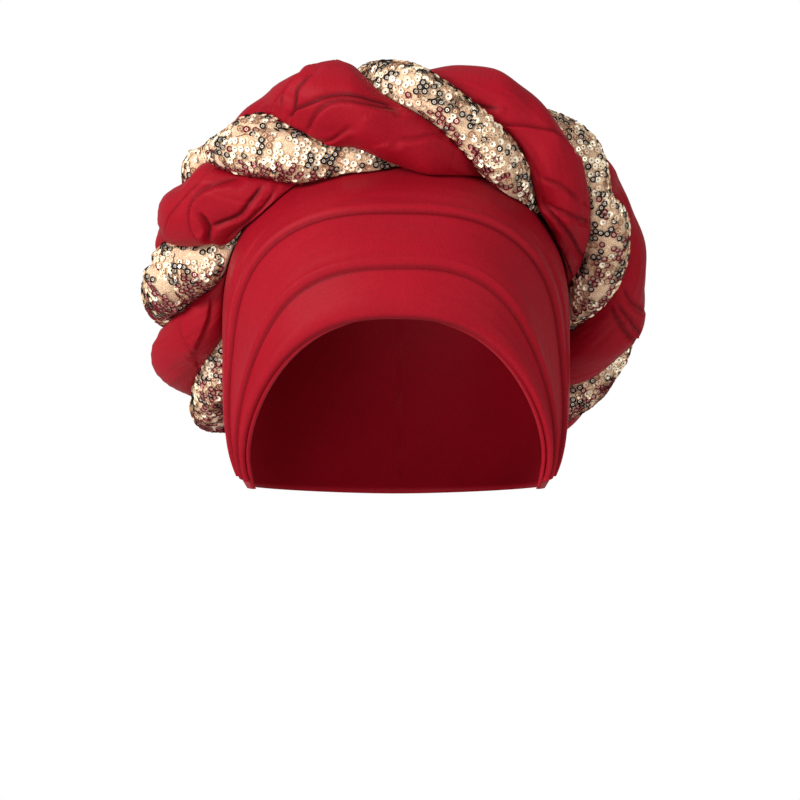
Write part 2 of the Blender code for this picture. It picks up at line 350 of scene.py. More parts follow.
# Pleated front: three folded leaves that overlap upwards, all turning about the line from ear to ear
pleatSizes = {
    "seat": 2.1 * mm, "cloth": 1.5 * mm, "roll": 2.8 * mm, "clearance": 0.15 * mm, "hidden": 7.0,
    "radius": 128 * mm, "stepsAcross": 240, "stepsUp": 96, "stepsUnder": 8, "crowding": 1.5, "waver": 0.35,
    "rollShare": 0.4, "crestStart": 0.18, "roundOver": 1.9 * mm, "lip": 0.9 * mm, "lipStart": 1.6 * mm,
    # line and shadow: strengths of the painted shade along each upper leaf's lower edge and under the next leaf
    "lipFade": 2.4 * mm, "ripple": 0.5 * mm, "drag": 0.3 * mm, "calm": 5 * mm, "line": 0.4,
    "edgeShadeWidth": 0.3 * mm, "shadow": 0.55, "shadowWidth": 0.6 * mm,
}
pleatRows = (
    {"middle": 55.0, "side": 57.0, "flat": 61.2, "height": 0.8},
    {"middle": 61.8, "side": 66.0, "flat": 69.8, "height": 1.0},
    {"middle": 71.0, "side": 90.0, "flat": 80.5, "height": 1.1},
)
# Narrow folds at the sides of the top leaf: the fan angle along the fold for each sweep from ear to ear
sideFolds = (
    {"sweep": (24, 34, 43, 51, 60), "angle": (80, 83, 87, 95, 104), "height": 1.5 * mm, "reach": 5 * mm},
    {"sweep": (-58, -46, -40, -32, -22), "angle": (92, 86.5, 84.5, 81.5, 79), "height": 1.1 * mm, "reach": 4 * mm},
    {"sweep": (-64, -54, -46, -36, -28), "angle": (101, 93, 90, 87, 86), "height": 0.8 * mm, "reach": 5 * mm},
)
sideFoldForm = {
    "fade": 9, "foot": 0.5 * mm, "top": 0.7 * mm, "dip": 0.45, "dipPlace": 1.2 * mm, "dipWidth": 1.5 * mm,
}


def fanPoints(sweep, angle, offset):
    aim = np.stack([np.sin(sweep), -np.cos(sweep) * np.cos(angle), np.cos(sweep) * np.sin(angle)], axis=-1)
    near = np.zeros_like(sweep)
    far = np.full_like(sweep, 0.4)
    for _ in range(34):
        middle = (near + far) / 2
        inside = headGauge(ear + aim * middle[..., None], offset) < 1
        near = np.where(inside, middle, near)
        far = np.where(inside, far, middle)
    return ear + aim * near[..., None]


def noiseField(x, y, z=0.0):
    flat = [noise.noise(Vector((a, b, z))) for a, b in zip(x.ravel(), y.ravel())]
    return np.array(flat).reshape(x.shape)


# Way up the cloth for an angle in degrees about the ears
def riseOver(angle):
    return angle * math.pi / 180 * pleatSizes["radius"]


def pleatEdge(index, sweep):
    pleat = pleatRows[index]
    edge = pleat["middle"] + (pleat["side"] - pleat["middle"]) * np.sin(sweep) ** 2
    waver = noiseField(sweep * 2.3, np.full_like(sweep, 3.7 + index)) * (index > 0)
    return edge + pleatSizes["waver"] * waver


def sideFoldLift(sweep, angle):
    s = sideFoldForm
    lift = np.zeros_like(angle)
    for fold in sideFolds:
        over = riseOver(angle - np.interp(np.degrees(sweep), fold["sweep"], fold["angle"]))
        ends = np.minimum(np.degrees(sweep) - fold["sweep"][0], fold["sweep"][-1] - np.degrees(sweep))
        rise = smoothStep(-s["foot"], s["top"], over) * np.exp(-np.maximum(over, 0) / fold["reach"])
        dip = np.exp(-((over + s["dipPlace"]) / s["dipWidth"]) ** 2)
        lift += smoothStep(0, s["fade"], ends) * fold["height"] * (rise - s["dip"] * dip)
    return lift


# Outer side of a leaf: a round fold along its lower edge, flat above it, with a little slack between
def leafOutside(index, sweep, angle, rise):
    p = pleatSizes
    pleat = pleatRows[index]
    flatRise = riseOver(pleat["flat"] - pleat["middle"])
    base = p["seat"] + p["cloth"]
    crest = 1 - smoothStep(p["crestStart"] * flatRise, flatRise, rise)
    roundOff = np.sqrt(np.clip(1 - (1 - np.clip(rise / p["roundOver"], 0, 1)) ** 2, 0, 1))
    lip = p["lip"] * (index > 0) * np.exp(-(np.maximum(rise - p["lipStart"], 0) / p["lipFade"]) ** 1.5)
    outer = base + p["rollShare"] * p["roll"] * pleat["height"] * (crest - 1 + roundOff) + lip * roundOff
    outer = np.where(rise > flatRise, base, outer)
    ripple = noiseField(sweep * 2.2, angle * 0.16, index * 4.0)
    drag = noiseField(sweep * 1.2, angle * 0.45, index * 4.0 + 2)
    slack = (1 - smoothStep(flatRise * 0.5, flatRise, rise)) * smoothStep(0, p["calm"], rise)
    return outer + (p["ripple"] * ripple + p["drag"] * drag) * slack


# One leaf, from its hidden inner end round the rolled lower edge to its upper end
def leafGrid(index, sweep):
    p = pleatSizes
    last = index == len(pleatRows) - 1
    lower = pleatEdge(index, sweep)
    covered = np.full_like(sweep, fan["lastAngle"]) if last else pleatEdge(index + 1, sweep)
    span = covered + (0.0 if last else p["hidden"]) - lower
    angleUp = lower[:, None] + span[:, None] * np.linspace(0, 1, p["stepsUp"]) ** p["crowding"]
    angleDown = lower[:, None] + span[:, None] * np.linspace(1, 0, p["stepsUnder"])
    rise = riseOver(angleUp - lower[:, None])
    broad = np.repeat(sweep[:, None], p["stepsUp"], 1)
    outer = leafOutside(index, broad, angleUp, rise)
    # Painted shade: a thin dark line along the rolled lower edge of each upper leaf
    creaseShade = p["line"] * np.exp(-(rise / p["edgeShadeWidth"]) ** 2) * (index > 0)
    if last:
        outer = outer + sideFoldLift(broad, angleUp)
    else:
        # Under the next leaf the cloth lies flat, and a painted shadow darkens it where it goes in
        past = angleUp - covered[:, None]
        under = smoothStep(-2.0, 1.0, past)
        outer = outer * (1 - under) + (p["seat"] + p["cloth"]) * under
        shadow = np.exp(-(np.maximum(riseOver(-past), 0) / p["shadowWidth"]) ** 2)
        creaseShade = np.maximum(creaseShade, p["shadow"] * shadow)
    # The inner side passes over the leaf below
    over = 1 - smoothStep(p["hidden"] + 0.3, p["hidden"] + 3.0, angleDown - lower[:, None])
    inner = p["seat"] + (p["cloth"] + p["clearance"]) * (index > 0) * over
    angle = np.radians(np.concatenate([angleDown, angleUp], axis=1))
    wide = np.repeat(sweep[:, None], angle.shape[1], axis=1)
    grid = fanPoints(wide, angle, np.concatenate([inner, outer], axis=1))
    creaseShade = np.concatenate([np.zeros_like(angleDown), creaseShade], axis=1)
    return grid, creaseShade, np.stack([wide, angle], axis=-1) * p["radius"]


def makePleats():
    p = pleatSizes
    reach = math.pi / 2 - math.atan2(fan["earEnd"], headForm["halfBreadth"] - headForm["sideTuck"])
    sweep = np.linspace(-reach, reach, p["stepsAcross"] + 1)
    rows = p["stepsUnder"] + p["stepsUp"]
    leaf = len(sweep) * rows
    points, faces, uv, creaseShades = [], [], [], []
    for index in range(len(pleatRows)):
        grid, creaseShade, cloth = leafGrid(index, sweep)
        start = index * leaf
        faces += gridFaces(len(sweep), rows, False, start)
        for column in range(len(sweep) - 1):
            here = start + column * rows
            faces.append((here + rows - 1, here, here + rows, here + 2 * rows - 1))
        faces.append(tuple(range(start, start + rows)))
        faces.append(tuple(reversed(range(start + leaf - rows, start + leaf))))
        points.append(grid.reshape(-1, 3))
        uv.append(cloth.reshape(-1, 2))
        creaseShades.append(creaseShade.ravel())
    front = meshPiece("pleatedFront", np.concatenate(points), faces, np.concatenate(uv))
    pointValues(front, "creaseShade", np.concatenate(creaseShades))
    faceOutwards(front)
    return front


# Braid ring: a tilted ellipse, on which four padded strands are laid a quarter turn apart
ringSizes = {
    "radius": 27 * mm, "frontSink": 7.5 * mm, "sideSink": 9.5 * mm, "backSink": 5 * mm, "fit": 0.5 * mm,
    "forward": 47 * mm, "backDrop": 47 * mm, "sag": 9 * mm, "sagTurn": 240.0, "turns": 4, "start": -29.0,
    "lead": 62.0, "leadTurn": -30.0, "valley": 0.66, "core": 0.07, "gap": 0.3 * mm, "goldSector": 78.0,
    "lobeRoundness": 0.66, "cushion": 2 * mm, "pleatsEnd": (2, 14),
}
# A strand stands less high where its neighbours squeeze it, within these limits
squeeze = {"least": 0.3, "most": 1.2, "power": 0.6}
strandMesh = {
    "red": {"sections": 1150, "lobeSteps": 72}, "gold": {"sections": 400, "lobeSteps": 28},
    "frontCrowding": 0.36, "evenShare": 0.6, "lobeEdge": 0.992, "sideDepths": (0.93, 0.55, 0.0),
    "clothLength": 820 * mm, "clothGirth": 60 * mm,
}
strandRows = (
    {"name": "goldStrandA", "node": "braid_gold_a", "quarter": 0, "kind": "gold"},
    {"name": "redStrandA", "node": "braid_red_a", "quarter": -1, "kind": "red"},
    {"name": "goldStrandB", "node": "braid_gold_b", "quarter": -2, "kind": "gold"},
    {"name": "redStrandB", "node": "braid_red_b", "quarter": -3, "kind": "red"},
)
bandTop = pleatSizes["seat"] + pleatSizes["cloth"]


def ringSeats():
    r, h = ringSizes, headForm
    n = h["roundness"]
    forward = r["forward"] / (h["front"] + bandTop)
    crown = (h["crownRise"] + bandTop) * (1 - forward ** n) ** (1 / n) - h["crownRise"]
    front = np.array([0, -r["forward"], crown + r["radius"] - r["frontSink"]])
    level = -h["crownRise"] - r["backDrop"]
    behind = 1 / headGauge(np.array([0.0, 1.0, level]), capSizes["wall"])
    back = np.array([0, behind + r["radius"] - r["backSink"], level])
    centre = (front + back) / 2
    inward = headGauge(centre, capSizes["wall"]) ** n
    side = (h["halfBreadth"] + capSizes["wall"]) * (1 - inward) ** (1 / n) + r["radius"] - r["sideSink"]
    return centre, (front - back) / 2, np.array([side, 0, 0])


ringCentre, ringRise, ringSide = ringSeats()


def unit(vectors):
    return vectors / np.linalg.norm(vectors, axis=-1, keepdims=True)


def ringFrame(turn):
    cosine, sine = np.cos(turn)[..., None], np.sin(turn)[..., None]
    spot = ringCentre + ringRise * cosine + ringSide * sine
    hang = np.maximum(np.cos(turn - math.radians(ringSizes["sagTurn"])), 0.0) ** 3
    spot[..., 2] -= ringSizes["sag"] * hang
    along = unit(ringSide * cosine - ringRise * sine)
    outward = np.concatenate([ringSide[0] * sine, 0 * sine, ringRise[2] * cosine], axis=-1)
    outward = unit(outward - along * np.sum(outward * along, axis=-1, keepdims=True))
    return spot, outward, np.cross(along, outward)


# Padding gives way where it meets the cap
def seated(points):
    centre = np.zeros_like(points)
    centre[..., 2] = np.minimum(points[..., 2], -headForm["crownRise"])
    reach = points - centre
    length = np.linalg.norm(reach, axis=-1)
    surface = centre + reach / headGauge(points, 0.0)[..., None]
    past = np.degrees(fanAngle(surface)) - fan["lastAngle"]
    past = np.where(past < -180, past + 360, past)
    bare = smoothStep(*ringSizes["pleatsEnd"], past)
    offset = bandTop + (capSizes["wall"] - bandTop) * bare + ringSizes["fit"]
    seat = length / headGauge(points, offset)
    over = (length - seat) / ringSizes["cushion"]
    farOut = 30
    pushed = seat + ringSizes["cushion"] * np.log1p(np.exp(np.minimum(over, farOut)))
    return np.where((over > farOut)[..., None], points, centre + reach * (pushed / length)[..., None])


def strandHalf(strand):
    sector = ringSizes["goldSector"] if strand["kind"] == "gold" else 180 - ringSizes["goldSector"]
    return math.radians(sector / 2)


# Where one strand pushes the next aside: the valley below strand number edge moves by shift degrees about the rope
edgeShifts = (
    {"edge": 0, "turn": 287, "spread": 4.5, "shift": -25},
    {"edge": 0, "turn": 303, "spread": 5, "shift": 9},
    {"edge": 0, "turn": 32, "spread": 7, "shift": -8},
    {"edge": 1, "turn": 310, "spread": 5, "shift": -26},
    {"edge": 1, "turn": 331, "spread": 5, "shift": 10},
    {"edge": 2, "turn": 328, "spread": 5, "shift": -25},
    {"edge": 2, "turn": 343, "spread": 5, "shift": 12},
    {"edge": 2, "turn": 58, "spread": 5.5, "shift": 42},
    {"edge": 3, "turn": 349, "spread": 5, "shift": -34},
    {"edge": 3, "turn": 103, "spread": 8, "shift": -18},
)
edgeWaves = {"shift": 5.0, "first": 5, "step": 3}


def edgeShift(edge, turn):
    w = edgeWaves
    shift = w["shift"] * np.sin(w["first"] * turn + w["step"] * edge)
    for row in edgeShifts:
        if row["edge"] == edge:
            away = (np.degrees(turn) - row["turn"] + 180) % 360 - 180
            shift = shift + row["shift"] * np.exp(-(away / row["spread"]) ** 2)
    return np.radians(shift)


# The twist is drawn out on one side of the ring and crowded on the other
def twistAngle(strand, turn):
    r = ringSizes
    lead = r["lead"] * np.cos(turn - math.radians(r["leadTurn"]))
    return r["turns"] * turn + np.radians(r["start"] + lead + 90 * strand["quarter"])


# Middle of a strand's sector about the rope, and half its width
def strandSpan(strand, turn):
    number = -strand["quarter"]
    low, high = edgeShift(number, turn), edgeShift((number - 1) % 4, turn)
    return twistAngle(strand, turn) + (low + high) / 2, strandHalf(strand) + (high - low) / 2


# A point of a strand's visible side, share running from -1 to 1 from valley to valley
def strandPoints(strand, turn, share, lift=0.0, pressed=True):
    r = ringSizes
    middle, half = strandSpan(strand, turn)
    bulge = np.maximum(np.cos(share * math.pi / 2), 0) ** r["lobeRoundness"]
    bulge = bulge * np.clip(half / strandHalf(strand), squeeze["least"], squeeze["most"]) ** squeeze["power"]
    radius = r["radius"] * (r["valley"] + (1 - r["valley"]) * bulge) + lift
    angle = middle + share * half
    spot, outward, across = ringFrame(turn)
    direction = outward * np.cos(angle)[..., None] + across * np.sin(angle)[..., None]
    points = spot + direction * radius[..., None]
    return seated(points) if pressed else points


# Folds of the strands' cloth. A path runs over the strand through (turn in degrees, share) points. The cloth
# stands up by height on the path's right side, or left side if below 0, falls away over reach, and dips by
# groove along the path. Lengths in mm
foldRows = (
    {"strand": "redStrandA", "path": ((313, -0.9), (311, -0.5), (307, -0.4), (303, -0.33), (300, -0.15), (296, 0.2),
     (290, 0.85)), "height": -2.8, "reach": 10, "groove": 1.2, "width": 0.9},
    {"strand": "redStrandA", "path": ((319, -0.95), (314, -0.6), (310, -0.33), (307, -0.25), (304, -0.12),
     (302, 0.1), (300, 0.4), (299, 0.8)), "height": -2.5, "reach": 9, "groove": 1.2, "width": 0.8},
    {"strand": "redStrandA", "path": ((307, -0.1), (306, 0.07), (305, 0.2), (302, 0.4), (301, 0.55)),
     "height": 1.0, "reach": 5, "groove": 2.4, "width": 1.0},
    {"strand": "redStrandA", "path": ((305, 0.2), (308, 0.24), (310, 0.24), (314, 0), (317, -0.35), (320, -0.6),
     (323, -0.9)), "height": 1.8, "reach": 5, "groove": 1.8, "width": 0.9},
    {"strand": "redStrandA", "path": ((303, 0.6), (305, 0.52), (307, 0.52), (310, 0.48), (314, 0.15), (318, -0.2),
     (322, -0.5), (325, -0.85)), "height": 1.5, "reach": 6, "groove": 1.1, "width": 0.8},
    {"strand": "redStrandA", "path": ((24, 0.98), (26, 0.9), (28, 0.71), (31, 0.5), (34, 0.23), (38, -0.12),
     (43, -0.55)), "height": 2.6, "reach": 10, "groove": 1.0, "width": 0.8},
    {"strand": "redStrandA", "path": ((17, 0.98), (19, 0.92), (21, 0.84), (24, 0.72)),
     "height": 0, "reach": 5, "groove": 2.0, "width": 2.2},
    {"strand": "redStrandA", "path": ((38, 0.8), (40, 0.62), (42, 0.38), (44, 0.18), (48, -0.12), (50, -0.3)),
     "height": 1.2, "reach": 6, "groove": 1.0, "width": 0.9},
    {"strand": "redStrandA", "path": ((44, 0.75), (46, 0.55), (48, 0.29), (51, -0.04), (55, -0.47), (59, -0.85)),
     "height": 2.0, "reach": 8, "groove": 1.2, "width": 0.8},
    {"strand": "redStrandA", "path": ((44, 0.85), (45, 0.7), (47, 0.53), (50, 0.3), (53, 0.07), (58, -0.25),
     (64, -0.65), (69, -0.95)), "height": 2.2, "reach": 8, "groove": 1.5, "width": 0.9},
    {"strand": "redStrandA", "path": ((52, 0.5), (55, 0.3), (60, 0), (64, -0.3), (71, -0.66), (76, -0.97)),
     "height": -1.8, "reach": 8, "groove": 1.3, "width": 0.9},
    {"strand": "redStrandB", "path": ((331, 0.8), (334, 0.48), (337, 0.06), (340, -0.35), (342, -0.55),
     (347, -0.6), (350, -0.66)), "height": 1.4, "reach": 5, "groove": 1.0, "width": 0.8},
    {"strand": "redStrandB", "path": ((334, 0.75), (335, 0.54), (336, 0.28), (338, 0.03), (340, -0.3)),
     "height": 2.0, "reach": 4, "groove": 2.0, "width": 1.0},
    {"strand": "redStrandB", "path": ((337, 0.75), (338, 0.55), (339, 0.34), (340, 0.07), (342, -0.12), (344, -0.3)),
     "height": 1.8, "reach": 9, "groove": 1.9, "width": 1.0},
    {"strand": "redStrandB", "path": ((335, 0.85), (337, 0.64), (340, 0.39), (343, 0.22), (346, 0.15), (350, 0.05),
     (353, -0.16), (356, -0.45), (360, -0.75)), "height": 2.8, "reach": 5, "groove": 1.7, "width": 0.8},
    {"strand": "redStrandB", "path": ((338, 0.97), (340, 0.83), (342, 0.46), (345, 0.29), (348, 0.2), (352, 0.03),
     (356, -0.34), (361, -0.7)), "height": 2.6, "reach": 10, "groove": 1.3, "width": 0.8},
    {"strand": "redStrandB", "path": ((340, 0.97), (342, 0.91), (345, 0.76), (348, 0.62), (351, 0.4)),
     "height": 1.2, "reach": 6, "groove": 1.0, "width": 0.9},
    {"strand": "redStrandB", "path": ((0, -0.05), (2, -0.22), (5, -0.42), (7, -0.62), (10, -0.84), (12, -0.98)),
     "height": 1.4, "reach": 7, "groove": 0.8, "width": 0.9},
    {"strand": "redStrandB", "path": ((85, 0.9), (87, 0.75), (90, 0.41), (94, 0.05), (98, -0.3)),
     "height": 1.8, "reach": 5, "groove": 1.3, "width": 0.9},
    {"strand": "redStrandB", "path": ((86, 0.95), (88, 0.78), (92, 0.41), (96, 0.04), (100, -0.4)),
     "height": -1.6, "reach": 6, "groove": 1.2, "width": 0.9},
    {"strand": "redStrandB", "path": ((82, 0.9), (84, 0.73), (87, 0.48), (90, 0.12), (94, -0.35)),
     "height": 1.6, "reach": 6, "groove": 1.1, "width": 0.9},
    {"strand": "redStrandB", "path": ((274, -0.98), (272, -0.75), (270, -0.4), (266, 0.2), (262, 0.6)),
     "height": -1.3, "reach": 8, "groove": 0.6, "width": 0.8},
    {"strand": "redStrandB", "path": ((282, -0.9), (277, -0.47), (272, -0.15), (267, 0.15), (263, 0.45)),
     "height": 1.4, "reach": 8, "groove": 0.7, "width": 0.9},
    {"strand": "goldStrandB", "path": ((310, 0.95), (313, 0.85), (318, 0.18), (321, -0.15), (325, -0.27),
     (330, -0.44), (333, -0.82), (335, -0.95)), "height": 3.6, "reach": 10, "groove": 3.2, "width": 1.8},
    {"strand": "goldStrandA", "path": ((355, 0.95), (358, 0.83), (361, 0.85), (365, 0.68), (370, 0.25), (373, 0)),
     "height": 3.0, "reach": 8, "groove": 2.6, "width": 1.8},
    {"strand": "goldStrandA", "path": ((279, -0.95), (283, -0.64), (285, -0.3), (284, 0), (281, 0.34), (278, 0.7)),
     "height": 2.4, "reach": 8, "groove": 2.4, "width": 1.8},
)
# Places where a strand swells: spread is in mm over the cloth
bulgeRows = (
    {"strand": "redStrandA", "turn": 23, "share": -0.1, "lift": 3.5, "spread": 15},
    {"strand": "redStrandB", "turn": 343, "share": -0.5, "lift": 5.5, "spread": 25},
    {"strand": "goldStrandA", "turn": 283, "share": -0.6, "lift": 3.0, "spread": 10},
    {"strand": "goldStrandB", "turn": 323, "share": -0.7, "lift": 2.5, "spread": 10},
    {"strand": "redStrandA", "turn": 297, "share": -0.5, "lift": 2.0, "spread": 12},
)
hiddenFolds = {
    "count": 13, "firstTurn": 112, "lastTurn": 252, "height": 2.0, "reach": 8, "groove": 0.7, "width": 1.4,
    "lean": 2.4,
}
strandCloth = {
    "plump": 2.3 * mm, "plumpScale": 5.5, "plumpLean": 0.6, "drag": 0.8 * mm, "dragScale": 9, "dragLean": 7.5,
    "dragShift": 7, "dragLeast": 0.35, "ringReach": 96 * mm, "ropeReach": 25 * mm, "seedStep": 5.0,
}
# How every fold is formed: lengths in mm, margin in degrees of turn; dark sets the painted shade in the crease
foldForm = {
    "margin": 14, "fade": 4.5, "foot": 0.7, "top": 1.7, "leastGroove": 0.2, "grooveRange": 1.6, "dark": 0.85,
    "creaseShadeShift": 0.3, "creaseShadeWidth": 0.7, "routeSteps": 22, "roundings": 6,
}


# Where a place on a strand lies when its cloth is rolled out flat
def flatPlace(strand, turn, share):
    c = strandCloth
    middle, half = strandSpan(strand, turn)
    return np.stack([turn * c["ringReach"], (middle + share * half) * c["ropeReach"]], axis=-1)


# The path through the stops, with its corners rounded off
def smoothRoute(stops):
    length = np.concatenate([[0], np.cumsum(np.linalg.norm(np.diff(stops, axis=0), axis=1))])
    steps = np.linspace(0, length[-1], foldForm["routeSteps"])
    route = np.stack([np.interp(steps, length, stops[:, column]) for column in (0, 1)], axis=-1)
    for _ in range(foldForm["roundings"]):
        route[1:-1] = (route[:-2] + 2 * route[1:-1] + route[2:]) / 4
    return route


# Distance from the route over the flat cloth, below 0 on the other side of it
def distanceFrom(route, places):
    near = np.full(len(places), np.inf)
    side = np.zeros(len(places))
    for start, end in zip(route[:-1], route[1:]):
        step = end - start
        ahead = ((places - start) @ step) / math.hypot(*step) ** 2
        foot = start + np.clip(ahead, 0, 1)[:, None] * step
        distance = np.linalg.norm(places - foot, axis=-1)
        cross = step[0] * (places - start)[:, 1] - step[1] * (places - start)[:, 0]
        closer = distance < near
        side = np.where(closer, np.sign(cross), side)
        near = np.where(closer, distance, near)
    return side * near


# Lift of the cloth by one fold, and how much painted shade its crease gets
def foldRelief(strand, turn, share, fold):
    f = foldForm
    stops = np.array(fold["path"], dtype=float)
    stops[:, 0] = np.degrees(np.unwrap(np.radians(stops[:, 0])))
    middle = (stops[:, 0].min() + stops[:, 0].max()) / 2
    away = (np.degrees(turn) - middle + 180) % 360 - 180
    close = np.abs(away) < np.ptp(stops[:, 0]) / 2 + f["margin"]
    lift, creaseShade = np.zeros_like(turn), np.zeros_like(turn)
    if not close.any():
        return lift, creaseShade
    places = flatPlace(strand, np.radians(middle + away[close]), share[close])
    route = smoothRoute(flatPlace(strand, np.radians(stops[:, 0]), stops[:, 1]))
    ends = np.minimum(np.linalg.norm(places - route[0], axis=-1), np.linalg.norm(places - route[-1], axis=-1))
    fade = smoothStep(0.0, f["fade"] * mm, ends)
    over = distanceFrom(route, places) * (-1 if fold["height"] < 0 else 1) / mm
    rise = smoothStep(-f["foot"], f["top"], over) * np.exp(-np.maximum(over - f["top"], 0) / fold["reach"])
    dip = np.exp(-(over / fold["width"]) ** 2)
    lift[close] = fade * (abs(fold["height"]) * rise - fold["groove"] * dip) * mm
    # Painted shade along the groove, stronger for deeper grooves
    depth = np.clip((fold["groove"] - f["leastGroove"]) / f["grooveRange"], 0, 1) * f["dark"]
    creaseShade[close] = fade * depth * np.exp(-((over + f["creaseShadeShift"]) / f["creaseShadeWidth"]) ** 2)
    return lift, creaseShade


def addFold(relief, strand, turn, share, fold):
    lift, creaseShade = foldRelief(strand, turn, share, fold)
    return relief[0] + lift, np.maximum(relief[1], creaseShade)


# Lift of a strand's cloth and the painted shade of its creases, all swellings and folds together
def strandRelief(strand, turn, share):
    c = strandCloth
    seed = c["seedStep"] * strand["quarter"]
    ring = np.stack([np.cos(turn), np.sin(turn)], axis=-1)
    leaning = ring[..., 0] * c["plumpScale"] + share * c["plumpLean"]
    plump = noiseField(leaning, ring[..., 1] * c["plumpScale"], seed)
    lift = c["plump"] * plump * (1 - 0.5 * share ** 2)
    for bulge in bulgeRows:
        if bulge["strand"] == strand["name"]:
            aside = (np.degrees(turn) - bulge["turn"] + 180) % 360 - 180
            along = np.radians(aside) * math.hypot(c["ringReach"], ringSizes["turns"] * c["ropeReach"])
            across = (share - bulge["share"]) * strandHalf(strand) * c["ropeReach"]
            lift = lift + bulge["lift"] * mm * np.exp(-(along ** 2 + across ** 2) / (bulge["spread"] * mm) ** 2)
    relief = lift, np.zeros_like(lift)
    if strand["kind"] == "red":
        # Drag lines run with the strand and grow towards the valleys
        crossing = ring[..., 1] * c["dragScale"] + share * c["dragLean"]
        drag = noiseField(ring[..., 0] * c["dragScale"] + c["dragShift"], crossing, seed + 2)
        grow = c["dragLeast"] + (1 - c["dragLeast"]) * share ** 2
        relief = lift + c["drag"] * drag * grow, relief[1]
        h = hiddenFolds
        for number in range(h["count"]):
            spot = h["firstTurn"] + (h["lastTurn"] - h["firstTurn"]) * (number + 0.5) / h["count"]
            lean = math.sin(number * h["lean"] + seed)
            path = ((spot - 9, 0.95), (spot - 1, 0.25 + 0.2 * lean), (spot + 12 + 4 * lean, -0.9))
            relief = addFold(relief, strand, turn, share, {**h, "path": path, "height": h["height"] * lean})
    for fold in foldRows:
        if fold["strand"] == strand["name"]:
            relief = addFold(relief, strand, turn, share, fold)
    inside = smoothStep(1.0, 0.9, np.abs(share))
    return relief[0] * inside, relief[1] * inside


def strandLift(strand, turn, share):
    return strandRelief(strand, turn, share)[0]


# The two flat sides of a strand, from its visible edges down to the rope's core
def strandSides(strand, turn):
    r = ringSizes
    spot, outward, across = ringFrame(turn)
    middle, half = strandSpan(strand, turn)
    sides = []
    for sign in (-1, 1):
        angle = (middle + sign * half)[:, None]
        direction = outward * np.cos(angle) + across * np.sin(angle)
        beside = across * np.cos(angle) - outward * np.sin(angle)
        line = []
        for depth in strandMesh["sideDepths"]:
            radius = r["radius"] * (r["core"] + (r["valley"] - r["core"]) * depth)
            line.append(seated(spot + direction * radius - sign * beside * r["gap"] / 2))
        sides.append(np.stack(line, axis=1))
    return sides


def makeStrand(strand):
    m = strandMesh
    columns = m[strand["kind"]]["sections"]
    # Sections lie closer together at the front of the ring
    turn = np.arange(columns) / columns * 2 * math.pi
    turn = turn - m["frontCrowding"] * np.sin(turn)
    even = np.linspace(-1, 1, m[strand["kind"]]["lobeSteps"] + 1)
    share = (m["evenShare"] * even + (1 - m["evenShare"]) * np.sin(even * math.pi / 2)) * m["lobeEdge"]
    wide, cross = np.meshgrid(turn, share, indexing="ij")
    lift, creaseShade = strandRelief(strand, wide, cross)
    before, after = strandSides(strand, turn)
    grid = np.concatenate([before[:, ::-1], strandPoints(strand, wide, cross, lift), after], axis=1)
    rows = grid.shape[1]
    faces = gridFaces(columns, rows, True)
    for column in range(columns):
        here, there = column * rows, (column + 1) % columns * rows
        faces.append((here + rows - 1, here, there, there + rows - 1))
    around = np.linspace(0, 1, rows)[None, :] * m["clothGirth"] + np.zeros((columns, 1))
    length = turn[:, None] / (2 * math.pi) * m["clothLength"] + np.zeros((1, rows))
    piece = meshPiece(strand["name"], grid.reshape(-1, 3), faces, np.stack([length.ravel(), around.ravel()], axis=1))
    pointValues(piece, "creaseShade", np.pad(creaseShade, ((0, 0), (len(m["sideDepths"]),) * 2)))
    faceOutwards(piece)
    return piece


# Cupped sequins, sewn in staggered rows on the gold strands
sequinSizes = {
    "pitch": 3.15 * mm, "rowPitch": 2.5 * mm, "hole": 0.4 * mm, "flat": 0.95 * mm, "rim": 1.62 * mm,
    "cup": 0.42 * mm, "thick": 0.12 * mm, "sides": 8, "stand": 0.3 * mm, "edge": 0.93, "measureTurn": 0.6,
    "tilt": 0.26, "ownTilt": 0.45, "patch": 9 * mm, "jitterAlong": 0.3 * mm, "jitterAcross": 0.010,
    "sizes": (0.94, 1.04), "missing": 0.04, "crowded": 1.12, "clear": 2.6 * mm, "facing": 0.15, "seed": 11,
}
# Which look a sequin gets: looks cluster at random; as painted reflection, sequins facing up lean to the later,
# darker looks, and the undersides of the strands have more of the last, red one, the red cloth reflected
shineShares = {
    "middle": 0.5, "cluster": 0.55, "clusterScale": 0.8, "top": 0.12, "own": 0.2, "redReflectionShare": 0.75,
    "red": (0.86, 1.0), "others": 0.88,
}


def sequinShape():
    q = sequinSizes
    rings = ((q["hole"], 0.0), (q["flat"], 0.0), (q["rim"], q["cup"]), (q["flat"], -q["thick"]))
    angle = np.arange(q["sides"]) / q["sides"] * 2 * math.pi
    points = [(radius * math.cos(a), radius * math.sin(a), height) for radius, height in rings for a in angle]
    faces = []
    for ring in range(4):
        for side in range(q["sides"]):
            after = (side + 1) % q["sides"]
            here, there = ring * q["sides"], (ring + 1) % 4 * q["sides"]
            faces.append((here + side, there + side, there + after, here + after))
    # How far out each ring counts for the colours
    rimShare = np.repeat([0.0, 0.35, 1.0, 0.35], q["sides"])
    return np.array(points), np.array(faces), rimShare


